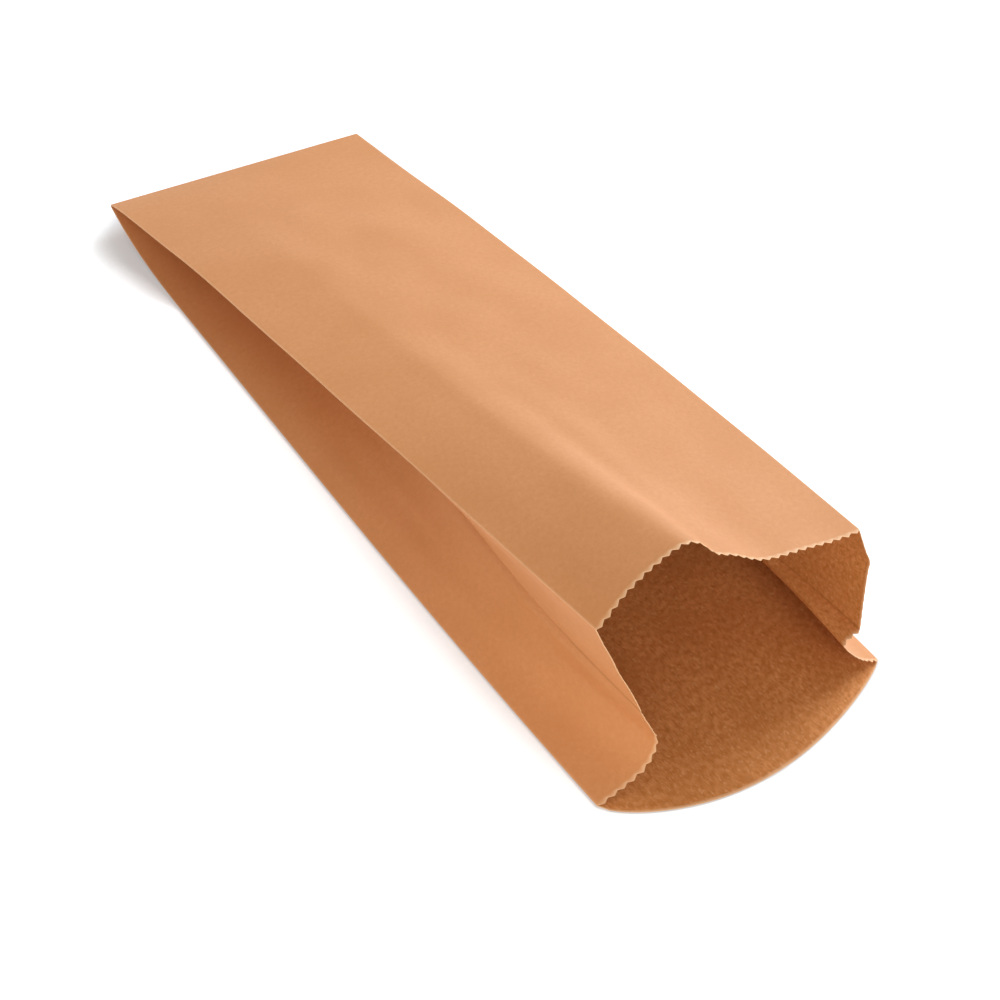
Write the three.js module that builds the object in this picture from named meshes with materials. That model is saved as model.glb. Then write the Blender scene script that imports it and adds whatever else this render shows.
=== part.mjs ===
// Paper grocery bag with side gussets and a pinched bottom, lying open on its back panel.
// Units are mm. X is the width, the closed end points to +Y, the mouth to -Y, Z is up.
// The bag is one folded and glued tube: every cross-section is one closed loop of paper that runs
// along the back panel, up the right gusset, over the front panel and down the left gusset.
import * as THREE from "three";

// Size of the flat bag
const bagWidth = 150; // front and back panel, crease to crease
const gussetHalf = 57; // each of the two halves of a side gusset
const bagLength = 447; // closed end to the straight cut of the mouth
const lipDepth = 25; // how far the back panel's rounded lip stands out beyond the cut
const lipSkew = 0.85; // below 1 the lip is fullest towards the left, as it was cut
const lipFullness = 0.8; // below 1 the lip is blunter than a sine curve
const toothPitch = 4.8; // saw-tooth cut of the front panel and the lower halves of the gussets
const toothDepth = 1.4;

// Paper
const paper = 0.3; // drawn thickness, about three times the real sheet
const layerGap = 0.3; // space left between the layers where the bag lies folded flat
const sealDepth = 3; // glued end, where the layers are one
const flapLength = 18; // bottom flap, folded under and glued to the back panel
const flapStep = 0.3; // length over which the paper steps up at the end of the flap
const seamWidth = 12; // the two edges of the sheet overlap along the middle of the back panel
const seamStep = 0.2; // width over which the paper steps up at each edge of the seam

// How far the mouth has opened, front panel above the back panel
const leftHeight = 98;
const rightHeight = 85.5;
const leftFullness = 21.7; // the part of the height that is reached close to the closed end
const rightFullness = 8.5;
const fullnessReach = 34;
const mouthRightIn = 22; // the front right crease is drawn in at the mouth
const mouthLeftOut = 2;
const rightSag = 2.4; // the right crease hangs a little half way along
const leftBow = 2.3; // and the foot of the left gusset stands out a little
const bowPeak = 6.75; // brings its curve to 1 at its highest, two thirds of the way to the mouth

// Gussets: the middle folds lie deep inside at the closed end and are pushed out at the mouth
const leftFoldIn = 18.5; // from the side of the bag, at the mouth
const rightFoldIn = 15.7;
const leftFoldHeight = 0.465; // share of the mouth's height at that side
const rightFoldHeight = 0.335;
const tuckEnd = 0.2; // share of the length from the closed end over which the folds stay deep
const pushReach = 0.75; // share of the length over which they are then pushed out

// Shape of the front panel at the mouth
const ridgeHeight = 24.5; // soft ridge over the straight line between the creases
const ridgeFade = 5; // how soon the tall ridge of the mouth runs out towards the closed end
const backRidgeHeight = 10.5; // lower ridge that goes on behind it
const backRidgeFade = 1.3;
const archHeight = 3; // slight arch of the panel half way along
const curlFade = 4; // how soon the inward curl of the lower gusset halves runs out
const leftCurl = 18;
const rightCurl = 11.5;
const rightCurlRise = 1.8; // the curled paper also rides up a little on the right
const rightBulge = 4.9; // the upper right gusset half stands out at the mouth
const gussetSwell = 1.5; // two of the gusset halves swell to the right half way along
const leftLowSwell = 2.5; // and the lower left one to the left

// The closed end curls up off the ground
const liftLeft = 13.8;
const liftRight = 7.5;
const liftReach = 90;

// Rows of points along the bag, and limits that keep the skin clean
const rows = 21;
const rowCrowding = 0.7; // 0 spaces the rows evenly, 1 crowds them at both ends
const rowClearance = 1; // no row lies closer than this to the seal or to the end of the flap
const bluntest = 0.6; // corners sharper than this are blunted
const steepest = 0.5; // limit on the square of a panel's slope along the bag

const foldedLayers = 3; // folded flat, the front panel is the third layer above the back panel
const layer = paper + layerGap;

const lerp = (a, b, t) => a + (b - a) * t;
const point = (x, z) => new THREE.Vector3(x, 0, z);

// Height of the front panel's creases over the back panel, at distance d from the closed end.
function openHeight(mouthHeight, fullness, d) {
  const full = fullness * (1 - Math.exp(-d / fullnessReach));
  return full + (mouthHeight - fullness) * (d / bagLength);
}

// Corners of the section: the four creases and the two middle folds.
function corners(d) {
  const open = Math.min(1, d / bagLength);
  const shut = 1 - open;
  const flat = foldedLayers * layer;
  const left = flat + openHeight(leftHeight - flat, leftFullness, d);
  const right = flat + openHeight(rightHeight - flat, rightFullness, d);
  const half = bagWidth / 2;
  const belly = 4 * open * shut;
  const bow = leftBow * bowPeak * open * open * shut;
  const foldShut = 1 - THREE.MathUtils.smoothstep(open, tuckEnd, tuckEnd + pushReach);
  return {
    backLeft: point(-half - bow, paper / 2),
    backRight: point(half, paper / 2),
    frontLeft: point(-half - mouthLeftOut * open, left + paper / 2),
    frontRight: point(
      half - mouthRightIn * open * open,
      right + paper / 2 - rightSag * belly
    ),
    foldLeft: point(
      -half + lerp(leftFoldIn, gussetHalf, foldShut),
      paper / 2 + lerp(flat / 2, leftFoldHeight * leftHeight, open)
    ),
    foldRight: point(
      half - lerp(rightFoldIn, gussetHalf, foldShut),
      paper / 2 + lerp(flat / 2, rightFoldHeight * rightHeight, open)
    ),
  };
}

// Points of one panel, evenly spaced along a smooth line from crease to crease. Each bend moves the
// straight line at share t of its length by dx and dz.
function panel(from, to, bends, segments) {
  const way = bends.map(([t, dx, dz]) => from.clone().lerp(to, t).add(point(dx, dz)));
  const line = new THREE.CatmullRomCurve3([from, ...way, to], false, "centripetal");
  line.arcLengthDivisions = 300;
  return line.getSpacedPoints(segments);
}

// Bends of the front panel, from its right crease to its left: a long rise to the ridge and a steep
// fall beside it at the mouth, and a lower ridge farther back.
function frontBends(open) {
  const ridge = ridgeHeight * Math.pow(open, ridgeFade);
  const back = backRidgeHeight * Math.pow(open, backRidgeFade) * (1 - Math.pow(open, ridgeFade));
  const arch = archHeight * 4 * open * (1 - open);
  const rise = [
    [0.12, 0.0, 0.11],
    [0.25, 0.08, 0.25],
    [0.4, 0.2, 0.42],
    [0.5, 0.46, 0.56],
    [0.56, 0.6, 0.66],
    [0.625, 0.93, 0.82],
    [0.67, 1.0, 0.94],
    [0.705, 0.97, 1.0],
    [0.78, 0.81, 0.75],
    [0.88, 0.52, 0.4],
  ];
  return rise.map(([t, atMouth, behind]) => [
    t,
    0,
    ridge * atMouth + back * behind + arch * Math.sin(Math.PI * t),
  ]);
}

// A crease is two points one above the other, the ends of the two panels that meet there.
function section(d) {
  const open = Math.min(1, d / bagLength);
  const curl = Math.pow(open, curlFade);
  const belly = 4 * open * (1 - open);
  const c = corners(d);
  const up = point(0, layer);
  const halfUp = point(0, layer / 2);
  const gussetTeeth = Math.max(3, Math.round(gussetHalf / toothPitch));
  const frontTeeth = Math.max(6, Math.round(bagWidth / toothPitch));
  const foldLeftLow = c.foldLeft.clone().sub(halfUp);
  const foldLeftHigh = c.foldLeft.clone().add(halfUp);
  const foldRightLow = c.foldRight.clone().sub(halfUp);
  const foldRightHigh = c.foldRight.clone().add(halfUp);

  const parts = [
    { name: "back", points: backPanel(c) },
    {
      name: "rightLow",
      points: panel(
        c.backRight.clone().add(up),
        foldRightLow,
        [
          [0.2, -rightCurl * 0.52 * curl + gussetSwell * belly, 0],
          [0.5, -rightCurl * 0.91 * curl, curl],
          [0.8, -rightCurl * curl, rightCurlRise * curl],
          [0.93, -rightCurl * 0.43 * curl, curl],
        ],
        gussetTeeth
      ),
    },
    {
      name: "rightHigh",
      points: panel(
        foldRightHigh,
        c.frontRight.clone().sub(up),
        [
          [0.3, rightBulge * 0.31 * curl, 0],
          [0.56, rightBulge * 0.73 * curl, 0],
          [0.66, rightBulge * curl, 0],
          [0.76, rightBulge * 0.65 * curl, 0],
        ],
        gussetTeeth
      ),
    },
    { name: "front", points: panel(c.frontRight, c.frontLeft, frontBends(open), frontTeeth) },
    {
      name: "leftHigh",
      points: panel(
        c.frontLeft.clone().sub(up),
        foldLeftHigh,
        [[0.5, gussetSwell * belly, 0]],
        gussetTeeth
      ),
    },
    {
      name: "leftLow",
      points: panel(
        foldLeftLow,
        c.backLeft.clone().add(up),
        [
          [0.1, leftCurl * 0.2 * curl, 0],
          [0.28, leftCurl * 0.58 * curl, 0],
          [0.5, leftCurl * curl, 0],
          [0.78, leftCurl * curl - leftLowSwell * belly, 0],
        ],
        gussetTeeth
      ),
    },
  ];
  return parts.flatMap((part) =>
    part.points.map((p) => ({ x: p.x, z: p.z, panel: part.name, seam: p.seam === true }))
  );
}

// Back panel from left to right, with both edges of the glued seam.
function backPanel(c) {
  const half = seamWidth / 2;
  const spans = [-half, -half + seamStep, 0, half - seamStep, half];
  const between = [0.2, 0.4, 0.6, 0.8];
  const left = between.map((t) => lerp(-bagWidth / 2, -half, t));
  const right = between.map((t) => lerp(half, bagWidth / 2, t));
  const xs = [-bagWidth / 2, ...left, ...spans, ...right, bagWidth / 2];
  return xs.map((x) => {
    const p = point(x, c.backLeft.z);
    p.seam = Math.abs(x) < half - seamStep / 2;
    return p;
  });
}

// Outward direction at each point of the loop, with its length drawn out at the corners so that the
// paper keeps its thickness round them.
function outward(loop) {
  const n = loop.length;
  const normal = (a, b) => new THREE.Vector2(b.z - a.z, -(b.x - a.x)).normalize();
  return loop.map((p, i) => {
    const before = normal(loop[(i + n - 1) % n], p);
    const after = normal(p, loop[(i + 1) % n]);
    const sum = before.clone().add(after).normalize();
    return sum.divideScalar(Math.max(bluntest, sum.dot(before)));
  });
}

// How far the closed end has curled up at this place.
function lift(x, d) {
  const near = Math.max(0, 1 - d / liftReach);
  return lerp(liftLeft, liftRight, (x + bagWidth / 2) / bagWidth) * near * near * near;
}

// Distance from the closed end, with closer rows at both ends.
function rowDistance(k) {
  const t = k / rows;
  return bagLength * (t - (rowCrowding * Math.sin(2 * Math.PI * t)) / (2 * Math.PI));
}

// One row of corners of the paper's outer or inner face. Paper that rises to the front panel reaches
// less far towards the mouth, because its own length stays the same.
function faceRow(d, side, flapOn, atMouth) {
  const loop = section(d);
  const out = outward(loop);
  return loop.map((p, i) => {
    const x = p.x + (out[i].x * side * paper) / 2;
    let z = p.z + (out[i].y * side * paper) / 2;
    if (side < 0 && p.seam) z += paper;
    if (side > 0 && flapOn && p.panel === "back") z -= paper;
    const rise = (mouthLoop[i].z - mouthLoop[0].z) / bagLength;
    let run = d * Math.sqrt(1 - Math.min(steepest, rise * rise));
    if (atMouth && p.panel === "back") run += lipDepth * lipShape(p.x);
    return new THREE.Vector3(x, -run, z + lift(p.x, d));
  });
}

// Share of the lip's depth at this place across the back panel: none at its two creases.
function lipShape(x) {
  const t = THREE.MathUtils.clamp((x + bagWidth / 2) / bagWidth, 0, 1);
  return Math.pow(Math.sin(Math.PI * Math.pow(t, lipSkew)), lipFullness);
}

const mouthLoop = section(bagLength);
const toothedPanels = ["front", "leftLow", "rightLow"];

// The whole bag as one closed skin: outer face, inner face, cut edge with its teeth, and both faces
// of the glued end.
function bagGeometry() {
  const distances = [];
  for (let k = rows; k > 0; k--) distances.push(rowDistance(k));
  const inner = distances.filter((d) => d > sealDepth + rowClearance);
  inner.push(sealDepth);
  const outer = [];
  for (const d of distances) {
    if (outer.length && outer.at(-1).d > flapLength && d <= flapLength) {
      outer.push({ d: flapLength + flapStep, flap: false });
      outer.push({ d: flapLength, flap: true });
    }
    if (Math.abs(d - flapLength) > rowClearance) outer.push({ d, flap: d < flapLength });
  }
  outer.push({ d: 0, flap: true });

  const positions = [];
  const faces = [];
  const add = (p) => positions.push(p.x, p.y, p.z) / 3 - 1;
  const outerRows = outer.map((r, i) => faceRow(r.d, 1, r.flap, i === 0).map(add));
  const innerRows = inner.map((d, i) => faceRow(d, -1, false, i === 0).map(add));
  const n = mouthLoop.length;
  const quad = (a, b, c, d) => faces.push(a, b, c, a, c, d);

  for (let r = 0; r + 1 < outerRows.length; r++)
    for (let i = 0; i < n; i++) {
      const j = (i + 1) % n;
      quad(outerRows[r][i], outerRows[r + 1][i], outerRows[r + 1][j], outerRows[r][j]);
    }
  for (let r = 0; r + 1 < innerRows.length; r++)
    for (let i = 0; i < n; i++) {
      const j = (i + 1) % n;
      quad(innerRows[r][i], innerRows[r][j], innerRows[r + 1][j], innerRows[r + 1][i]);
    }

  const at = (i) => new THREE.Vector3().fromArray(positions, i * 3);
  const rimOut = outerRows[0];
  const rimIn = innerRows[0];
  for (let i = 0; i < n; i++) {
    const j = (i + 1) % n;
    const here = mouthLoop[i].panel;
    const toothed = toothedPanels.includes(here) && here === mouthLoop[j].panel;
    if (!toothed) {
      quad(rimOut[i], rimOut[j], rimIn[j], rimIn[i]);
      continue;
    }
    const reach = new THREE.Vector3(0, -toothDepth, 0);
    const tipOut = add(at(rimOut[i]).lerp(at(rimOut[j]), 0.5).add(reach));
    const tipIn = add(at(rimIn[i]).lerp(at(rimIn[j]), 0.5).add(reach));
    faces.push(rimOut[i], rimOut[j], tipOut, rimIn[i], tipIn, rimIn[j]);
    quad(rimOut[i], tipOut, tipIn, rimIn[i]);
    quad(tipOut, rimOut[j], rimIn[j], tipIn);
  }

  const cap = (row, turn) => {
    const flat = row.map((i) => new THREE.Vector2(positions[i * 3], positions[i * 3 + 2]));
    for (const [a, b, c] of THREE.ShapeUtils.triangulateShape(flat, []))
      faces.push(row[a], row[turn ? c : b], row[turn ? b : c]);
  };
  cap(outerRows.at(-1), true);
  cap(innerRows.at(-1), false);

  const geometry = new THREE.BufferGeometry();
  geometry.setAttribute("position", new THREE.Float32BufferAttribute(positions, 3));
  geometry.setIndex(faces);
  return geometry;
}

// Put the origin under the middle of the bag, on the ground.
function centred(geometry) {
  geometry.computeBoundingBox();
  const box = geometry.boundingBox;
  const middle = box.getCenter(new THREE.Vector3());
  return geometry.translate(-middle.x, -middle.y, -box.min.z);
}

function kraftPaper() {
  return new THREE.MeshStandardMaterial({
    name: "kraft_paper",
    color: 0xd9a273,
    roughness: 0.8,
    metalness: 0,
    side: THREE.DoubleSide,
  });
}

const bag = new THREE.Mesh(centred(bagGeometry()), kraftPaper());
bag.name = "paper_bag";

const group = new THREE.Group();
group.name = "grocery_bag";
group.add(bag);

export default group;
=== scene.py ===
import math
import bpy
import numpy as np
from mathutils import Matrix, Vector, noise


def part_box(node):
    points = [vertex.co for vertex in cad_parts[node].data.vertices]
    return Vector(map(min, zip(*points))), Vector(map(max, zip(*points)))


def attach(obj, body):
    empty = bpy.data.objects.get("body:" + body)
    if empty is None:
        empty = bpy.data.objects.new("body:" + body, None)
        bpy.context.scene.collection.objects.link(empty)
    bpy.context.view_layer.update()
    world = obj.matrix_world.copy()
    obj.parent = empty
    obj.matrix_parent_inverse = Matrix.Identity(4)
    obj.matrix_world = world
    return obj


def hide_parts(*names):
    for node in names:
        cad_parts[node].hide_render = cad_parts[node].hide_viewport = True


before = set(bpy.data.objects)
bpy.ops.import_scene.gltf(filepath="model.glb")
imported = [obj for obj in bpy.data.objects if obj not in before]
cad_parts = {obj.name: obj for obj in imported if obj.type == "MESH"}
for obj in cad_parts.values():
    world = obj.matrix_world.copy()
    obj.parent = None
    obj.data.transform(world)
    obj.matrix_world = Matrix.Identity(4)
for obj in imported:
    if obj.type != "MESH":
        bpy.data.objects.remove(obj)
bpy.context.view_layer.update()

# %% [markdown]
# # A paper grocery bag lying open on its back
# The real bag is one sheet of kraft paper, folded and glued into a tube with a pleat down each side,
# pinched and glued at the bottom and cut with a saw-toothed knife at the mouth. It lies as it was
# left after something was pushed into it: the mouth stands open, the bottom is still flat.

low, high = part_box("paper_bag")
print("packed bag from", [round(v, 4) for v in low], "to", [round(v, 4) for v in high])

# %% [markdown]
# ## Sizes
# All lengths are in metres and are those of the real bag laid flat: paper doesn't stretch, so the
# flat sizes decide how far each panel can reach once the bag is open. The sheet is drawn 0.2 mm
# thick, about twice the real kraft paper, so that its cut edge still shows.

# %% Sizes
WIDTH = 0.150  # front and back panel, crease to crease
GUSSET = 0.057  # each of the two halves of a side gusset
LENGTH = 0.447  # closed end to the straight cut of the mouth
LIP = 0.025  # how far the back panel's rounded lip stands out beyond the cut
PAPER = 0.0002
LAYER = 0.0004  # from layer to layer where the bag lies folded flat
FOLDED_LAYERS = 3  # folded flat, the front panel is the third layer above the back panel
SEAL = 0.003  # glued end, where the layers are one
FLAP = 0.018  # bottom flap, folded under and glued to the back panel
SEAM = 0.012  # overlap of the sheet's two edges, along the middle of the back panel
TOOTH_PITCH = 0.0048
TOOTH_DEPTH = 0.0014
HALF = WIDTH / 2
print("flat bag:", WIDTH, "by", LENGTH, "m, each gusset", 2 * GUSSET, "m deep")

# %% [markdown]
# ## How far the bag has opened
# Pushed open, the front creases spring up close to the closed end and then climb evenly to the
# mouth. The pleat folds stay tucked between the panels at first and are pushed out farther on. All
# this is a few values here and curves along the length below, so one number moves a whole crease.

# %% How far the bag has opened
LEFT_HEIGHT, RIGHT_HEIGHT = 0.098, 0.0855  # the front creases at the mouth
LEFT_FULL, RIGHT_FULL, FULL_REACH = 0.0217, 0.0085, 0.034  # the part reached near the closed end
LEFT_OUT, RIGHT_IN = 0.002, 0.022  # how far the front creases have moved sideways at the mouth
RIGHT_SAG = 0.0024  # the right one hangs a little half way along
LEFT_BOW = 0.0155  # the back left crease stands out by 4/27 of this, two thirds of the way along
LEFT_FOLD_IN, RIGHT_FOLD_IN = 0.0185, 0.0157  # pleat folds at the mouth, from the bag's sides
LEFT_FOLD_SHARE, RIGHT_FOLD_SHARE = 0.465, 0.335  # and as shares of the height there
TUCK_END, PUSH_REACH = 0.2, 0.75  # shares of the length: folds tucked in, then pushed out
LIFT_LEFT, LIFT_RIGHT, LIFT_REACH = 0.0138, 0.0075, 0.090  # the closed end curls off the ground
SWAY, SWAY_WAVES = 0.0007, 14  # the front creases wander a little, so many waves to the metre


def crease_height(mouth, full, d):
    """Height of a front crease over the folded layers at distance d from the closed end."""
    return full * (1 - math.exp(-d / FULL_REACH)) + (mouth - full) * d / LENGTH


print("left front crease:", [round(crease_height(LEFT_HEIGHT, LEFT_FULL, LENGTH * k / 4), 4)
                             for k in range(5)])

# %% [markdown]
# ## A panel of paper
# Seen from the mouth, each panel is a smooth line from crease to crease. It could be drawn point by
# point, but real paper shows only a few bends, so the line runs through those few points. A
# centripetal Catmull-Rom line is used because it passes through each of them and never loops.
# Handled paper is also slightly uneven, by about a millimetre, but not at its creases.

# %% A panel of paper
FINE = 40  # steps of the line from one given point to the next
RIPPLE = 0.0016
RIPPLE_FREE = 0.12  # close to the closed end the layers keep each other flat
LONG_WAVES, SHORT_WAVES = 11, 27  # waves of the ripple to the metre along the bag
SHORT_SHARE = 0.35


def smooth_line(points, count):
    """Evenly spaced points on a centripetal Catmull-Rom line through the given points."""
    p = np.array(points, float)
    p = np.vstack([2 * p[0] - p[1], p, 2 * p[-1] - p[-2]])
    t = np.concatenate([[0], np.cumsum(np.sqrt(np.linalg.norm(np.diff(p, axis=0), axis=1)) + 1e-9)])
    out = []
    for k in range(1, len(p) - 2):
        u = np.linspace(t[k], t[k + 1], FINE, endpoint=k == len(p) - 3)[:, None]
        a1 = ((t[k] - u) * p[k - 1] + (u - t[k - 1]) * p[k]) / (t[k] - t[k - 1])
        a2 = ((t[k + 1] - u) * p[k] + (u - t[k]) * p[k + 1]) / (t[k + 1] - t[k])
        a3 = ((t[k + 2] - u) * p[k + 1] + (u - t[k + 1]) * p[k + 2]) / (t[k + 2] - t[k + 1])
        b1 = ((t[k + 1] - u) * a1 + (u - t[k - 1]) * a2) / (t[k + 1] - t[k - 1])
        b2 = ((t[k + 2] - u) * a2 + (u - t[k]) * a3) / (t[k + 2] - t[k])
        out.append(((t[k + 1] - u) * b1 + (u - t[k]) * b2) / (t[k + 1] - t[k]))
    line = np.vstack(out)
    along = np.concatenate([[0], np.cumsum(np.linalg.norm(np.diff(line, axis=0), axis=1))])
    want = np.linspace(0, along[-1], count + 1)
    return np.stack([np.interp(want, along, line[:, i]) for i in (0, 1)], 1)


def bent(start, end, bends, count):
    """A panel from start to end: each bend moves the straight line by dx, dz at share t of it."""
    start, end = np.array(start), np.array(end)
    way = [start + (end - start) * t + np.array([dx, dz]) for t, dx, dz in bends]
    return smooth_line([start, *way, end], count)


def ripple(points, panel, d, way):
    """Slight unevenness of a panel that has been folded and handled, none at its creases."""
    calm = min(1, d / RIPPLE_FREE)
    count = len(points)
    for k in range(1, count - 1):
        s = k / (count - 1)
        wave = noise.noise((panel * 7.3 + s * 3.1, d * LONG_WAVES + s * 2.0, 0.5))
        wave += SHORT_SHARE * noise.noise((panel * 3.7 + s * 8.0, d * SHORT_WAVES, 4.5))
        points[k] += np.array(way) * wave * RIPPLE * calm * math.sin(math.pi * s) ** 0.8
    return points


print("a bent panel:", bent((0, 0), (WIDTH, 0), [(0.5, 0, 0.02)], 4).round(3).tolist())

# %% [markdown]
# ## Section of the tube
# Across the bag the paper is one closed loop: back panel, right gusset, front panel, left gusset.
# The four creases and the two pleat folds are its corners, and the bends fade along the length. This
# keeps the folds crisp and the panels soft, as in real paper. A crease is two points, one layer
# apart, because the layers of a folded bag lie on each other and don't share a line.

# %% Section of the tube
BACK, RIGHT_LOW, RIGHT_HIGH, FRONT, LEFT_HIGH, LEFT_LOW = range(6)
STEPS_PER_TOOTH = 2
FRONT_TEETH = round(WIDTH / TOOTH_PITCH)
GUSSET_TEETH = round(GUSSET / TOOTH_PITCH)
BACK_STEPS = 48
RIDGE, RIDGE_FADE = 0.0245, 5  # soft ridge of the front panel at the mouth
BACK_RIDGE, BACK_RIDGE_FADE = 0.0105, 1.3  # lower ridge that goes on behind it
ARCH = 0.003  # slight arch of the front panel half way along
CURL_FADE, GROOVE_FADE = 4, 8  # how close to the mouth the curl begins and the groove ends
RIPPLE_UP, RIPPLE_SIDEWAYS = (0, 1), (0.8, 0)

# Front panel from its right crease to its left: share of the width, then the share of each ridge's
# height that is reached there, at the mouth and behind it.
FRONT_RISE = [(0.12, 0, 0.11), (0.25, 0.08, 0.25), (0.4, 0.2, 0.42), (0.5, 0.46, 0.56),
              (0.56, 0.6, 0.66), (0.625, 0.93, 0.82), (0.67, 1.0, 0.94), (0.705, 0.97, 1.0),
              (0.78, 0.81, 0.75), (0.88, 0.52, 0.4)]
# Gusset halves: share of the width, how far it moves sideways and up as the mouth curls, sideways as
# the bag swells half way along, and sideways into the groove beside the left pleat.
GUSSET_BENDS = {
    RIGHT_LOW: [(0.2, -0.006, 0, 0.0015, 0), (0.5, -0.0105, 0.001, 0, 0),
                (0.8, -0.0115, 0.0018, 0, 0), (0.93, -0.005, 0.001, 0, 0)],
    RIGHT_HIGH: [(0.3, 0.0015, 0, 0, 0), (0.56, 0.0036, 0, 0, 0), (0.66, 0.0049, 0, 0, 0),
                 (0.76, 0.0032, 0, 0, 0)],
    LEFT_HIGH: [(0.5, 0, 0, 0.0015, -0.0012), (0.84, 0, 0, 0, -0.0022)],
    LEFT_LOW: [(0.1, 0.0036, 0, 0, -0.0022), (0.28, 0.0105, 0, 0, 0), (0.5, 0.018, 0, 0, 0),
               (0.78, 0.018, 0, -0.0025, 0)],
}


def corners(opened, d):
    """The four creases and the two pleat folds at distance d, where opened is 1 at the mouth."""
    belly = 4 * opened * (1 - opened)
    flat = FOLDED_LAYERS * LAYER
    left = flat + crease_height(LEFT_HEIGHT - flat, LEFT_FULL, d) + PAPER / 2
    right = flat + crease_height(RIGHT_HEIGHT - flat, RIGHT_FULL, d) + PAPER / 2
    pushed = min(1.0, max(0.0, (opened - TUCK_END) / PUSH_REACH))
    into = 1 - pushed * pushed * (3 - 2 * pushed)
    sway = [SWAY * noise.noise((d * SWAY_WAVES, lane, 0)) for lane in (2.0, 9.0)]
    fold_l = [-HALF + LEFT_FOLD_IN + (GUSSET - LEFT_FOLD_IN) * into,
              PAPER / 2 + flat / 2 * (1 - opened) + LEFT_FOLD_SHARE * LEFT_HEIGHT * opened]
    fold_r = [HALF - RIGHT_FOLD_IN - (GUSSET - RIGHT_FOLD_IN) * into,
              PAPER / 2 + flat / 2 * (1 - opened) + RIGHT_FOLD_SHARE * RIGHT_HEIGHT * opened]
    back_l = [-HALF - LEFT_BOW * opened * opened * (1 - opened), PAPER / 2]
    back_r = [HALF, PAPER / 2]
    front_l = [-HALF - LEFT_OUT * opened + sway[0] * belly, left + sway[1] * belly]
    front_r = [HALF - RIGHT_IN * opened * opened + sway[1] * belly, right + (sway[0] - RIGHT_SAG) * belly]
    return [np.array(p) for p in (back_l, back_r, fold_r, front_r, front_l, fold_l)]


def section(d):
    """The loop of the paper's middle at distance d from the closed end, as one array per panel."""
    opened = min(1.0, d / LENGTH)
    back_l, back_r, fold_r, front_r, front_l, fold_l = corners(opened, d)
    belly = 4 * opened * (1 - opened)
    curl = opened ** CURL_FADE
    groove = opened * (1 - opened ** GROOVE_FADE)
    ridge = RIDGE * opened ** RIDGE_FADE
    behind = BACK_RIDGE * opened ** BACK_RIDGE_FADE * (1 - opened ** RIDGE_FADE)
    arch = ARCH * belly
    step = np.array([0, LAYER])
    rise = [(t, 0, ridge * s + behind * b + arch * math.sin(math.pi * t))
            for t, s, b in FRONT_RISE]

    def gusset_half(which, start, end):
        bends = [(t, curled * curl + swollen * belly + creased * groove, raised * curl)
                 for t, curled, raised, swollen, creased in GUSSET_BENDS[which]]
        return bent(start, end, bends, STEPS_PER_TOOTH * GUSSET_TEETH)

    right_low = gusset_half(RIGHT_LOW, back_r + step, fold_r - step / 2)
    right_high = gusset_half(RIGHT_HIGH, fold_r + step / 2, front_r - step)
    front = bent(front_r, front_l, rise, STEPS_PER_TOOTH * FRONT_TEETH)
    left_high = gusset_half(LEFT_HIGH, front_l - step, fold_l + step / 2)
    left_low = gusset_half(LEFT_LOW, fold_l - step / 2, back_l + step)
    return [
        bent(back_l, back_r, [(0.5, 0, 0)], BACK_STEPS),
        right_low,
        right_high,
        ripple(front, FRONT, d, RIPPLE_UP),
        ripple(left_high, LEFT_HIGH, d, RIPPLE_SIDEWAYS),
        ripple(left_low, LEFT_LOW, d, RIPPLE_SIDEWAYS),
    ]


MOUTH = section(LENGTH)
PANEL_OF = np.concatenate([np.full(len(p), k) for k, p in enumerate(MOUTH)])
SHARE = np.concatenate([np.linspace(0, 1, len(p)) for p in MOUTH])
AROUND = len(PANEL_OF)
print("points round the bag:", AROUND, "teeth:", FRONT_TEETH, "on the front and", GUSSET_TEETH,
      "on each gusset half")

# %% [markdown]
# ## One row of the paper's faces
# The paper has an outer and an inner face, each half its thickness away from the section. A panel
# that climbs reaches a little less far towards the mouth, because its own length stays the same.
# The closed end curls up off the ground, the bottom flap lies under the back panel as a second
# layer, the seam makes a second layer inside it, and the lip grows out of its last few centimetres.

# %% One row of the paper's faces
BLUNTEST = 0.6  # corners sharper than this are blunted
LIP_SKEW = 0.85  # below 1 the lip is fullest towards the left, as it was cut
LIP_FULLNESS = 0.8  # below 1 it is blunter than a sine curve
LIP_ROOT = 0.86  # share of the length from which the back panel's rows lean out to the lip
OUTER, INNER = 1, -1


def lift(x, d):
    """How far the closed end has curled up at this place."""
    near = max(0.0, 1 - d / LIFT_REACH)
    t = (x + HALF) / WIDTH
    return (LIFT_LEFT + (LIFT_RIGHT - LIFT_LEFT) * t) * near ** 3


def outward(loop):
    """Outward direction at each point, drawn out at corners so that the paper keeps its thickness."""
    sides = loop - np.roll(loop, 1, 0), np.roll(loop, -1, 0) - loop
    a, b = [np.stack([v[:, 1], -v[:, 0]], 1) / np.linalg.norm(v, axis=1, keepdims=True)
            for v in sides]
    s = a + b
    s /= np.linalg.norm(s, axis=1, keepdims=True)
    return s / np.maximum(BLUNTEST, (s * a).sum(1))[:, None]


def lip_shape(x):
    """Share of the lip's depth at this place across the back panel, none at its two creases."""
    t = np.clip((x + HALF) / WIDTH, 0, 1)
    return np.sin(np.pi * t ** LIP_SKEW) ** LIP_FULLNESS


MOUTH_LOOP = np.vstack(MOUTH)
RISE = (MOUTH_LOOP[:, 1] - MOUTH_LOOP[0, 1]) / LENGTH
REACH = np.sqrt(1 - RISE ** 2)
IS_BACK = PANEL_OF == BACK


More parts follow.
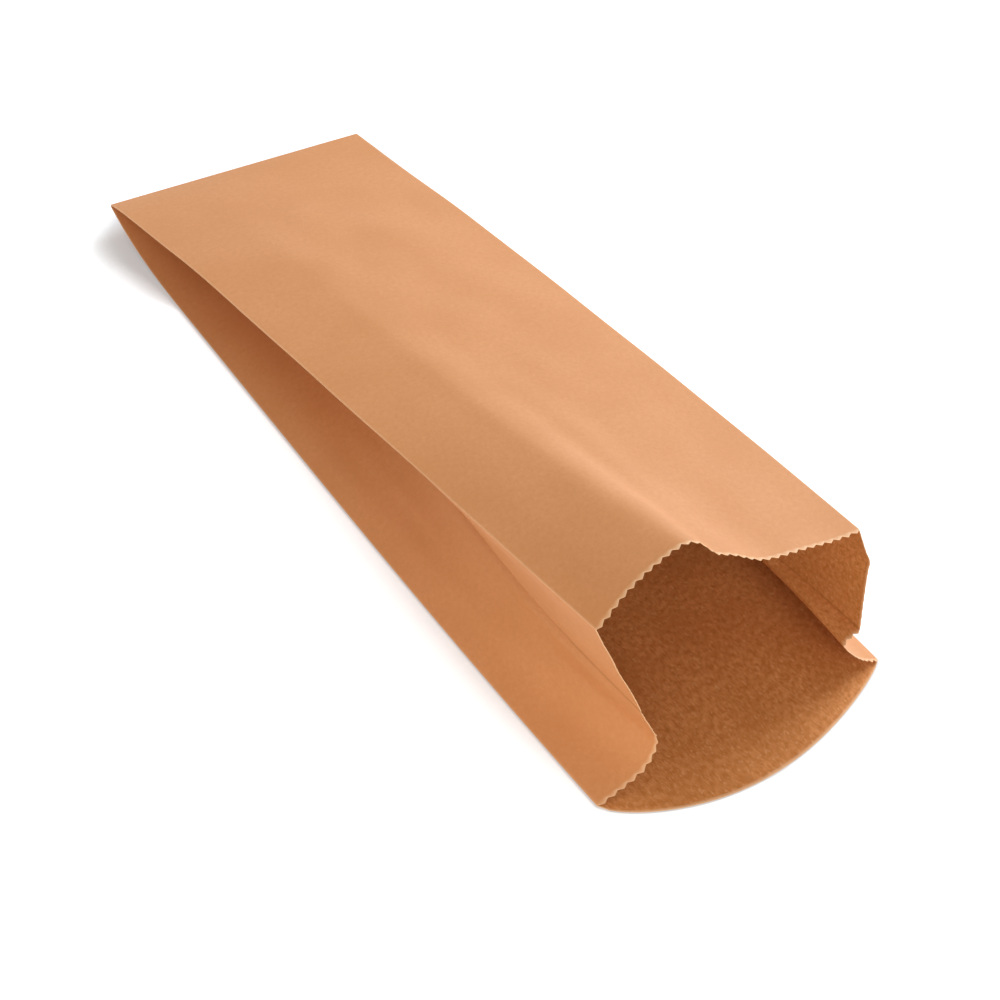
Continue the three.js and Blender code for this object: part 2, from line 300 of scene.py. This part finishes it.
def face_row(d, side, on_flap):
    """One row of points of the outer or inner face, at distance d from the closed end."""
    loop = np.vstack(section(d))
    off = outward(loop) * side * PAPER / 2
    x = loop[:, 0] + off[:, 0]
    z = loop[:, 1] + off[:, 1]
    if side == INNER:
        z = z + PAPER * (IS_BACK & (np.abs(loop[:, 0]) < SEAM / 2))
    if side == OUTER and on_flap:
        z = z - PAPER * IS_BACK
    grow = np.clip((d - LENGTH * LIP_ROOT) / (LENGTH * (1 - LIP_ROOT)), 0, 1)
    run = d * REACH + np.where(IS_BACK, LIP * lip_shape(loop[:, 0]) * grow, 0)
    z = z + np.array([lift(v, d) for v in loop[:, 0]])
    return np.stack([x, -run, z], 1)


print("the mouth reaches", round(-face_row(LENGTH, OUTER, False)[:, 1].min(), 4),
      "m from the closed end, and climbing takes up to", round(LENGTH * (1 - REACH.min()), 4))

# %% [markdown]
# ## The folded shell
# The sections are strung from the mouth to the closed end and joined into one closed skin: outer
# face, inner face, a real cut edge round the mouth and a cap on both faces of the glued end. The
# rows lie closer at both ends, where the paper bends most. A Solidify modifier could thicken a
# single surface instead, but it would pinch at the folds, where three layers lie on each other.

# %% The folded shell
ROWS = 150
ROW_CROWDING = 0.6  # 0 spaces the rows evenly, 1 crowds them at both ends
ROW_CLEARANCE = 0.001  # no row lies closer than this to the end of the flap
SEAL_CLEARANCE = 0.0005
FLAP_STEP = 0.0002  # length over which the paper steps up at the end of the flap
BOX_OFFSET = 0.001  # the left side bulges more, so the tube's middle is right of the box's
ON_OUTSIDE, ON_INSIDE, ON_CUT = 0, 1, 2

t = np.linspace(0, 1, ROWS + 1)
evenly = LENGTH * (t - ROW_CROWDING * np.sin(2 * np.pi * t) / (2 * np.pi))
distances = [d for d in evenly[::-1] if abs(d - FLAP) >= ROW_CLEARANCE]
outer = [(d, d < FLAP) for d in distances] + [(FLAP + FLAP_STEP, False), (FLAP, True)]
outer.sort(reverse=True)
inner = [d for d in distances if d > SEAL + SEAL_CLEARANCE] + [SEAL]
verts = np.vstack([face_row(d, OUTER, on_flap) for d, on_flap in outer]
                  + [face_row(d, INNER, False) for d in inner])
first_in = len(outer) * AROUND


def skin(first, rows, inwards):
    """Quads between neighbouring rows of points, all facing away from the paper."""
    quads = []
    for a in range(first, first + (rows - 1) * AROUND, AROUND):
        b = a + AROUND
        for i in range(AROUND):
            j = (i + 1) % AROUND
            quads.append((a + i, a + j, b + j, b + i) if inwards else (a + i, b + i, b + j, a + j))
    return quads


outer_skin = skin(0, len(outer), inwards=False)
inner_skin = skin(first_in, len(inner), inwards=True)
rim_faces = [(i, (i + 1) % AROUND, first_in + (i + 1) % AROUND, first_in + i)
             for i in range(AROUND)]
outer_cap = tuple(range(first_in - 1, first_in - AROUND - 1, -1))
inner_cap = tuple(range(len(verts) - AROUND, len(verts)))
faces = outer_skin + inner_skin + rim_faces + [outer_cap, inner_cap]
kind = [ON_OUTSIDE] * len(outer_skin) + [ON_INSIDE] * len(inner_skin)
kind += [ON_CUT] * (len(rim_faces) + 1) + [ON_INSIDE]

# The bag's own axes start at the middle of the closed end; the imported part's at its middle.
shift = np.array([(low.x + high.x) / 2 + BOX_OFFSET, high.y, 0])
mesh = bpy.data.meshes.new("paper_bag_mesh")
mesh.from_pydata((verts + shift).tolist(), [], faces)
bag = bpy.data.objects.new("kraft_paper_bag", mesh)
bpy.context.scene.collection.objects.link(bag)
print("shell:", len(verts), "points,", len(faces), "faces")

# %% [markdown]
# ## What the mesh knows about the sheet
# The paper's grain runs along the sheet and folds with it, so a pattern in object coordinates would
# run straight through the creases. Attributes on the points tell the materials and the teeth where
# they are: the place on the flat sheet, the creases, and the place on the cut edge.

# %% What the mesh knows about the sheet
UPPER_TOOTH = 0.12  # the upper gusset halves are cut nearly smooth
WIDTHS = [WIDTH, GUSSET, GUSSET, WIDTH, GUSSET, GUSSET]
TEETH = [0, GUSSET_TEETH, GUSSET_TEETH, FRONT_TEETH, GUSSET_TEETH, GUSSET_TEETH]
TOOTH_SHARE = np.array([0, 1, UPPER_TOOTH, 1, UPPER_TOOTH, 1])
row_count = len(outer) + len(inner)


def on_points(name, values):
    """Store one number with each point of the mesh."""
    mesh.attributes.new(name, "FLOAT", "POINT").data.foreach_set("value", values)


def on_both_cuts(values):
    """The given values round both edges of the cut, and 0 everywhere else."""
    everywhere = np.zeros(len(verts))
    for first in (0, first_in):
        everywhere[first:first + AROUND] = values
    return everywhere


panel_start = np.concatenate([[0], np.cumsum(WIDTHS)[:-1]])
across = np.array([panel_start[p] + WIDTHS[p] * s for p, s in zip(PANEL_OF, SHARE)])
sheet_u = np.tile(across, row_count)
sheet_v = np.repeat([d for d, on_flap in outer] + inner, AROUND)
sheet = np.stack([sheet_u, sheet_v, 0 * sheet_u], 1)
mesh.attributes.new("sheet", "FLOAT_VECTOR", "POINT").data.foreach_set("vector", sheet.ravel())
on_points("tooth_phase", on_both_cuts(np.array([s * TEETH[p] for p, s in zip(PANEL_OF, SHARE)])))
on_points("rim", on_both_cuts(TOOTH_SHARE[PANEL_OF]))

# 1 on the four creases of the panels, -1 on the two pleat folds, 0 elsewhere.
marks = []
for k, p in enumerate(MOUTH):
    line = np.zeros(len(p))
    line[0] = -1 if k in (RIGHT_HIGH, LEFT_LOW) else 1
    line[-1] = -1 if k in (RIGHT_LOW, LEFT_HIGH) else 1
    marks.append(line)
on_points("crease", np.tile(np.concatenate(marks), row_count))

# The cut faces get their own paper later on; until then they wear the inside's.
cut_face = [k == ON_CUT for k in kind]
mesh.polygons.foreach_set("material_index", [min(k, ON_INSIDE) for k in kind])
mesh.polygons.foreach_set("use_smooth", [not c for c in cut_face])
mesh.attributes.new("cut_face", "BOOLEAN", "FACE").data.foreach_set("value", cut_face)

# Creases stay sharp: the two edges at each corner of the loop, and all round the cut.
ends = np.cumsum([len(p) for p in MOUTH])
edges = np.array([e.vertices[:] for e in mesh.edges])
column = edges % AROUND
lengthwise = column[:, 0] == column[:, 1]
at_corner = np.isin(column[:, 0], np.concatenate([ends % AROUND, ends - 1]))
on_cut = (edges < AROUND) | ((edges >= first_in) & (edges < first_in + AROUND))
sharp = (lengthwise & at_corner) | on_cut.all(axis=1)
mesh.attributes.new("sharp_edge", "BOOLEAN", "EDGE").data.foreach_set("value", sharp)
print("sheet", round(across.max(), 3), "m round, sharp edges:", int(sharp.sum()))

# %% [markdown]
# ## Nodes and colours
# Materials and Geometry Nodes are both trees of nodes. One small function adds a node with its
# settings, its fixed inputs and its links, which keeps each tree short enough to read. Colours are
# written as they look on a screen, and Blender wants them linear.

# %% Nodes and colours
def node(tree, kind, links=None, **settings):
    """Add a node with its settings, its fixed inputs and the sockets that feed it."""
    n = tree.nodes.new(kind)
    inputs = settings.pop("inputs", {})
    for key, value in settings.items():
        setattr(n, key, value)
    for key, value in inputs.items():
        n.inputs[key].default_value = value
    for key, source in (links or {}).items():
        tree.links.new(source, n.inputs[key])
    return n


def colour(hex_code):
    """The linear colour of a code such as #dda273."""
    parts = [int(hex_code[i:i + 2], 16) / 255 for i in (1, 3, 5)]
    return [c / 12.92 if c <= 0.04045 else ((c + 0.055) / 1.055) ** 2.4 for c in parts] + [1.0]


def span(start, end, to_start, to_end):
    """Inputs that carry start..end over to to_start..to_end."""
    return {"From Min": start, "From Max": end, "To Min": to_start, "To Max": to_end}


MIX_A, MIX_B, MIX_RESULT = 6, 7, 2  # the colour sockets of a Mix node
print("kraft brown is", [round(c, 3) for c in colour("#dda273")])

# %% [markdown]
# ## Paper
# Kraft paper is unbleached wood pulp. Outside it is smoothed against a hot cylinder, which leaves it
# slightly glossy, with fine streaks along the web; inside it stays rough and mottled with clumps of
# fibre. The cut edge shows the paler torn fibres. All three are the same pulp, so one function
# makes them and only the amounts differ. The patterns follow the flat sheet, in waves to the metre.

# %% Paper
FIBRES = (3300, 330, 1)  # about 0.3 mm across and 3 mm along the web
LOOSE_FIBRES = (1000, 620, 1)  # 1 to 2 mm long
CLUMPS = 380.0  # about 3 mm
CLOUDS = 26.0  # the web is never quite even: patches a few centimetres across
PALE_FIBRE = "#f0c392"
# Painted highlight on the four creases, and the paler torn fibres along the cut.
CREASE_HIGHLIGHT_AND_TORN = "#f3d2ad"
# Painted shade in the two pleat folds.
PAINTED_FOLD_SHADE = "#a5682f"
TORN_BAND = 0.0012  # width of the torn fibres along the cut


def pulp(tree, sheet):
    """Fibres and clumps of fibres together, as one height of about 1."""
    grain = node(tree, "ShaderNodeMapping", {"Vector": sheet}, inputs={"Scale": FIBRES})
    fibres = node(tree, "ShaderNodeTexNoise", {"Vector": grain.outputs[0]},
                  inputs={"Scale": 1.0, "Detail": 3.0, "Roughness": 0.6})
    clumps = node(tree, "ShaderNodeTexNoise", {"Vector": sheet},
                  inputs={"Scale": CLUMPS, "Detail": 4.0, "Roughness": 0.65})
    return node(tree, "ShaderNodeMath", {0: fibres.outputs["Fac"], 1: clumps.outputs["Fac"]},
                operation="ADD").outputs[0]


def cloudy_patches(tree, sheet, amount):
    """Share of the darker tone in broad soft patches."""
    cloud = node(tree, "ShaderNodeTexNoise", {"Vector": sheet},
                 inputs={"Scale": CLOUDS, "Detail": 3.0, "Roughness": 0.55})
    return node(tree, "ShaderNodeMapRange", {"Value": cloud.outputs["Fac"]},
                inputs=span(0.38, 0.66, 0.0, amount)).outputs["Result"]


def pale_fibres(tree, sheet, amount):
    """Loose pale fibres, which show most on the rough side."""
    loose = node(tree, "ShaderNodeMapping", {"Vector": sheet}, inputs={"Scale": LOOSE_FIBRES})
    hair = node(tree, "ShaderNodeTexNoise", {"Vector": loose.outputs[0]},
                inputs={"Scale": 1.0, "Detail": 1.0, "Distortion": 0.8})
    return node(tree, "ShaderNodeMapRange", {"Value": hair.outputs["Fac"]},
                inputs=span(0.6, 0.72, 0.0, amount)).outputs["Result"]


def painted_highlight_and_torn_fibres(tree, sheet, crease):
    """Painted highlight: the creases are drawn paler, as where light catches a fold; the torn fibres
    along the cut are really paler.
    """
    painted_crease_highlight = node(tree, "ShaderNodeMapRange", {"Value": crease}, inputs=span(0.7, 1.0, 0.0, 0.35))
    down = node(tree, "ShaderNodeSeparateXYZ", {"Vector": sheet})
    torn = node(tree, "ShaderNodeMapRange", {"Value": down.outputs["Y"]},
                inputs=span(LENGTH - TORN_BAND, LENGTH, 0.0, 0.85))
    return node(tree, "ShaderNodeMath", {0: painted_crease_highlight.outputs[0], 1: torn.outputs[0]},
                operation="MAXIMUM").outputs[0]


def paper(name, light, dark, rough, mottle, bump_height, cloudy, flecks):
    """Two tones of pulp, then patches, loose fibres, a painted crease highlight and torn fibres, and
    painted shade in the pleat folds.
    """
    mat = bpy.data.materials.new(name)
    mat.use_nodes = True
    t = mat.node_tree
    t.nodes.clear()
    sheet = node(t, "ShaderNodeAttribute", attribute_name="sheet").outputs["Vector"]
    crease = node(t, "ShaderNodeAttribute", attribute_name="crease").outputs["Fac"]
    height = pulp(t, sheet)
    spread = node(t, "ShaderNodeMapRange", {"Value": height},
                  inputs=span(0.7, 1.3, 0.5 - mottle, 0.5 + mottle))
    # Painted shade: the pleat folds are drawn darker.
    folds = node(t, "ShaderNodeMapRange", {"Value": crease}, inputs=span(-0.6, -1.0, 0.0, 0.5))
    tint = node(t, "ShaderNodeMix", {"Factor": spread.outputs["Result"]}, data_type="RGBA",
                inputs={MIX_A: colour(dark), MIX_B: colour(light)}).outputs[MIX_RESULT]
    layers = [
        (cloudy_patches(t, sheet, cloudy), dark),
        (pale_fibres(t, sheet, flecks), PALE_FIBRE),
        (painted_highlight_and_torn_fibres(t, sheet, crease), CREASE_HIGHLIGHT_AND_TORN),
        (folds.outputs["Result"], PAINTED_FOLD_SHADE),
    ]
    for amount, shade in layers:
        tint = node(t, "ShaderNodeMix", {"Factor": amount, MIX_A: tint}, data_type="RGBA",
                    inputs={MIX_B: colour(shade)}).outputs[MIX_RESULT]
    bump = node(t, "ShaderNodeBump", {"Height": height},
                inputs={"Strength": 0.25, "Distance": bump_height})
    skin = node(t, "ShaderNodeBsdfPrincipled", {"Base Color": tint, "Normal": bump.outputs[0]},
                inputs={"Roughness": rough, "Specular IOR Level": 0.35, "IOR": 1.45})
    node(t, "ShaderNodeOutputMaterial", {"Surface": skin.outputs[0]})
    return mat


outside = paper("kraft_paper_machine_glazed_outside", "#dda273", "#cf925f", rough=0.55,
                mottle=0.4, bump_height=0.00002, cloudy=0.45, flecks=0.1)
inside = paper("kraft_paper_rough_inside", "#de9f67", "#b87539", rough=0.75,
               mottle=0.8, bump_height=0.00006, cloudy=0.5, flecks=0.4)
edge = paper("kraft_paper_cut_edge", "#f0cfa8", "#e3b98c", rough=0.8,
             mottle=0.5, bump_height=0.00004, cloudy=0.2, flecks=0.2)
for m in (outside, inside):
    mesh.materials.append(m)
print("papers:", [m.name for m in mesh.materials], "and", edge.name)

# %% [markdown]
# ## The saw-toothed cut
# The bags are cut from the running tube by a serrated knife, which leaves small even teeth on the
# front panel and on the lower halves of the gussets; the upper halves come out nearly smooth. A
# Geometry Nodes group draws them: it moves each point of the rim along the bag by a triangle wave of
# its place on the cut, and gives the cut faces their torn edge. The pitch is set by the mesh, one
# tooth every two steps, and the depth is a named input.

# %% The saw-toothed cut
TOOTH_UNEVENNESS = 0.15
TOOTH_SEED = 4


def teeth_group():
    """The node group that cuts the teeth, and the identifiers of its three inputs."""
    g = bpy.data.node_groups.new("saw_toothed_cut", "GeometryNodeTree")
    g.interface.new_socket("Geometry", in_out="INPUT", socket_type="NodeSocketGeometry")
    depth = g.interface.new_socket("Tooth depth", in_out="INPUT", socket_type="NodeSocketFloat")
    uneven = g.interface.new_socket("Unevenness", in_out="INPUT", socket_type="NodeSocketFloat")
    seed = g.interface.new_socket("Seed", in_out="INPUT", socket_type="NodeSocketInt")
    g.interface.new_socket("Geometry", in_out="OUTPUT", socket_type="NodeSocketGeometry")
    start = node(g, "NodeGroupInput")
    phase = node(g, "GeometryNodeInputNamedAttribute", data_type="FLOAT",
                 inputs={"Name": "tooth_phase"})
    rim = node(g, "GeometryNodeInputNamedAttribute", data_type="FLOAT", inputs={"Name": "rim"})
    # PingPong gives 0 in the valleys and 0.5 at the tips.
    wave = node(g, "ShaderNodeMath", {0: phase.outputs["Attribute"]}, operation="PINGPONG",
                inputs={1: 0.5})
    height = node(g, "ShaderNodeMath", {0: wave.outputs[0], 1: start.outputs["Tooth depth"]},
                  operation="MULTIPLY")
    # Each tooth draws its own length from the seed.
    key = node(g, "ShaderNodeMath", {0: phase.outputs["Attribute"]}, operation="ROUND")
    key_int = node(g, "FunctionNodeFloatToInt", {0: key.outputs[0]})
    chance = node(g, "FunctionNodeRandomValue",
                  {"ID": key_int.outputs[0], "Seed": start.outputs["Seed"]}, data_type="FLOAT",
                  inputs={2: -1.0, 3: 1.0})
    share = node(g, "ShaderNodeMath", {0: chance.outputs[1], 1: start.outputs["Unevenness"]},
                 operation="MULTIPLY")
    factor = node(g, "ShaderNodeMath", {0: share.outputs[0]}, operation="ADD", inputs={1: 1.0})
    tall = node(g, "ShaderNodeMath", {0: height.outputs[0], 1: factor.outputs[0]},
                operation="MULTIPLY")
    move = node(g, "ShaderNodeMath", {0: tall.outputs[0], 1: rim.outputs["Attribute"]},
                operation="MULTIPLY")
    # Twice the wave is a full tooth, and the mouth looks towards -Y.
    back = node(g, "ShaderNodeMath", {0: move.outputs[0]}, operation="MULTIPLY",
                inputs={1: -2.0})
    offset = node(g, "ShaderNodeCombineXYZ", {"Y": back.outputs[0]})
    moved = node(g, "GeometryNodeSetPosition",
                 {"Geometry": start.outputs["Geometry"], "Offset": offset.outputs[0]})
    real = node(g, "GeometryNodeRealizeInstances", {"Geometry": moved.outputs[0]})
    torn = node(g, "GeometryNodeInputNamedAttribute", data_type="BOOLEAN",
                inputs={"Name": "cut_face"})
    paint = node(g, "GeometryNodeSetMaterial",
                 {"Geometry": real.outputs[0], "Selection": torn.outputs["Attribute"]},
                 inputs={"Material": edge})
    end = node(g, "NodeGroupOutput")
    g.links.new(paint.outputs[0], end.inputs["Geometry"])
    return g, depth.identifier, uneven.identifier, seed.identifier


group, depth_id, uneven_id, seed_id = teeth_group()
cut = bag.modifiers.new("saw_toothed_cut", "NODES")
cut.node_group = group
cut[depth_id] = TOOTH_DEPTH
cut[uneven_id] = TOOTH_UNEVENNESS
cut[seed_id] = TOOTH_SEED
evaluated = bag.evaluated_get(bpy.context.evaluated_depsgraph_get())
with_teeth = bpy.data.meshes.new_from_object(evaluated)
bag.modifiers.remove(cut)
bag.data = with_teeth
print("with teeth:", len(with_teeth.vertices), "points, rim reaches y",
      round(min(v.co.y for v in with_teeth.vertices), 4))
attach(bag, "root")
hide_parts("paper_bag")

# %% [markdown]
# ## Ground
# The bag lies on a pale sweep. A plain white floor would turn grey away from the lamps, so the sweep
# looks one way to the camera and another to the light. Seen directly it is a cool white, darkened
# where an Ambient Occlusion node finds paper close by, which gives the soft shade along the bag. The
# light that it sends back up to the paper is warm and plain.

# %% Ground
SHADOW_REACH = 0.032  # how far from the paper the ground is still shaded
SHADOW_START = 0.66  # share of open sky at which the shade is deepest
SHADOW_FALL = 2.6  # above 1 the shade lightens slowly at first
SHADED, OPEN = [0.58, 0.62, 0.68, 1.0], [0.84, 0.92, 1.0, 1.0]
SHADED_GLOW, OPEN_GLOW = 0.28, 0.82
GLOW_TINT = (0.9, 0.95, 1.0, 1)
BOUNCE = (0.95, 0.82, 0.67, 1)
GROUND_HALF = 6
UNDER_PAPER = 0.0003  # gap that keeps the ground's face off the paper's


def seen_directly(tree):
    """1 for rays from the camera, also by way of a gloss or through glass, and 0 for all others."""
    ray = node(tree, "ShaderNodeLightPath")
    first = node(tree, "ShaderNodeMath", {0: ray.outputs["Is Camera Ray"],
                                          1: ray.outputs["Is Glossy Ray"]}, operation="MAXIMUM")
    both = node(tree, "ShaderNodeMath", {0: first.outputs[0],
                                         1: ray.outputs["Is Transmission Ray"]},
                operation="MAXIMUM")
    return both.outputs[0]


def white_sweep():
    """Painted paper sweep, seen as a burnt-out white with a soft shade close to the bag."""
    mat = bpy.data.materials.new("white_sweep")
    mat.use_nodes = True
    t = mat.node_tree
    t.nodes.clear()
    close = node(t, "ShaderNodeAmbientOcclusion", samples=16, inputs={"Distance": SHADOW_REACH})
    share = node(t, "ShaderNodeMapRange", {"Value": close.outputs["AO"]},
                 inputs=span(SHADOW_START, 1.0, 0.0, 1.0))
    clear = node(t, "ShaderNodeMath", {0: share.outputs["Result"]}, operation="POWER",
                 inputs={1: SHADOW_FALL})
    strength = node(t, "ShaderNodeMapRange", {"Value": clear.outputs[0]},
                    inputs=span(0.0, 1.0, SHADED_GLOW, OPEN_GLOW))
    hue = node(t, "ShaderNodeMix", {"Factor": clear.outputs[0]}, data_type="RGBA",
               inputs={MIX_A: SHADED, MIX_B: OPEN})
    seen = node(t, "ShaderNodeBsdfDiffuse", {"Color": hue.outputs[MIX_RESULT]})
    glow = node(t, "ShaderNodeEmission", {"Strength": strength.outputs["Result"]},
                inputs={"Color": GLOW_TINT})
    both = node(t, "ShaderNodeAddShader", {0: seen.outputs[0], 1: glow.outputs[0]})
    bounce = node(t, "ShaderNodeBsdfDiffuse", inputs={"Color": BOUNCE})
    pick = node(t, "ShaderNodeMixShader", {0: seen_directly(t), 1: bounce.outputs[0],
                                           2: both.outputs[0]})
    node(t, "ShaderNodeOutputMaterial", {"Surface": pick.outputs[0]})
    return mat


ground_corners = [(x * GROUND_HALF, y * GROUND_HALF, 0)
                  for x, y in ((-1, -1), (1, -1), (1, 1), (-1, 1))]
floor_mesh = bpy.data.meshes.new("floor_mesh")
floor_mesh.from_pydata(ground_corners, [], [(0, 1, 2, 3)])
floor_mesh.materials.append(white_sweep())
floor = bpy.data.objects.new("floor", floor_mesh)
bpy.context.scene.collection.objects.link(floor)
floor.location.z = -UNDER_PAPER
print("ground:", 2 * GROUND_HALF, "m square, shaded within", SHADOW_REACH, "m of the paper")

# %% [markdown]
# ## Light
# Soft daylight comes from a window on the right. A small warm card near the left gusset and a weak
# fill in front of the mouth stand for what a pale room sends back, and the world adds the rest. The
# room's light is warm, but seen past the ground's edge the world is as white as the ground.

# %% Light
ROOM, ROOM_STRENGTH = (1, 0.85, 0.69, 1), 0.41
WHITE = (1, 1, 1, 1)


def area_light(name, place, aim, size, power, tint="#ffffff"):
    data = bpy.data.lights.new(name, "AREA")
    data.shape = "RECTANGLE"
    data.size, data.size_y = size
    data.energy = power
    data.color = colour(tint)[:3]
    lamp = bpy.data.objects.new(name, data)
    lamp.location = place
    lamp.rotation_euler = (Vector(aim) - Vector(place)).to_track_quat("-Z", "Y").to_euler()
    bpy.context.scene.collection.objects.link(lamp)
    return lamp


lamps = [
    area_light("window_right", place=(1.8, 0.5, 1.3), aim=(0, 0, 0.05), size=(1.4, 1.2), power=43),
    area_light("card_left", place=(-0.54, -0.48, 0.14), aim=(-0.07, -0.15, 0.04),
               size=(0.45, 0.2), power=0.95, tint="#ffead6"),
    area_light("fill_front", place=(-0.45, -1.45, 0.95), aim=(0, -0.15, 0.03),
               size=(1.0, 0.7), power=9.5, tint="#fff3e6"),
]
world = bpy.data.worlds.new("soft_room")
bpy.context.scene.world = world
world.use_nodes = True
wt = world.node_tree
wt.nodes.clear()
room = node(wt, "ShaderNodeBackground", inputs={"Color": ROOM, "Strength": ROOM_STRENGTH})
blank = node(wt, "ShaderNodeBackground", inputs={"Color": WHITE, "Strength": 1.0})
sky = node(wt, "ShaderNodeMixShader", {0: seen_directly(wt), 1: room.outputs[0],
                                       2: blank.outputs[0]})
node(wt, "ShaderNodeOutputWorld", {"Surface": sky.outputs[0]})
print("lamps:", {lamp.name: round(lamp.data.energy, 2) for lamp in lamps})

# %% [markdown]
# ## Camera
# The camera looks down at the mouth from the left with a short telephoto lens. Its place and turn
# were worked out from the bag's straight edges in the photograph. The place is measured from the
# mouth, so the view of it stays the same if the bag's length changes.

# %% Camera
LENS, SENSOR = 72.76, 36
AZIMUTH, ELEVATION, ROLL = (math.radians(v) for v in (-35.749, 44.511, 3.392))
EYE_LEFT, EYE_BEFORE_MOUTH, EYE_HEIGHT = 0.4045, 0.3776, 0.6610

back = Vector((math.sin(AZIMUTH) * math.cos(ELEVATION), -math.cos(AZIMUTH) * math.cos(ELEVATION),
               math.sin(ELEVATION)))
right = (-back).cross(Vector((0, 0, 1))).normalized()
up = back.cross(right)
turned_right = right * math.cos(ROLL) + up * math.sin(ROLL)
turned_up = up * math.cos(ROLL) - right * math.sin(ROLL)
camera_data = bpy.data.cameras.new("camera")
camera_data.sensor_width = SENSOR
camera_data.lens = LENS
camera = bpy.data.objects.new("camera", camera_data)
eye = Vector((-EYE_LEFT, -EYE_BEFORE_MOUTH - LENGTH, EYE_HEIGHT)) + Vector(shift)
camera.matrix_world = Matrix.Translation(eye) @ Matrix(
    (turned_right, turned_up, back)).transposed().to_4x4()
bpy.context.scene.collection.objects.link(camera)
bpy.context.scene.camera = camera
bpy.context.scene.view_settings.view_transform = "Standard"
print("camera at", [round(v, 3) for v in eye])
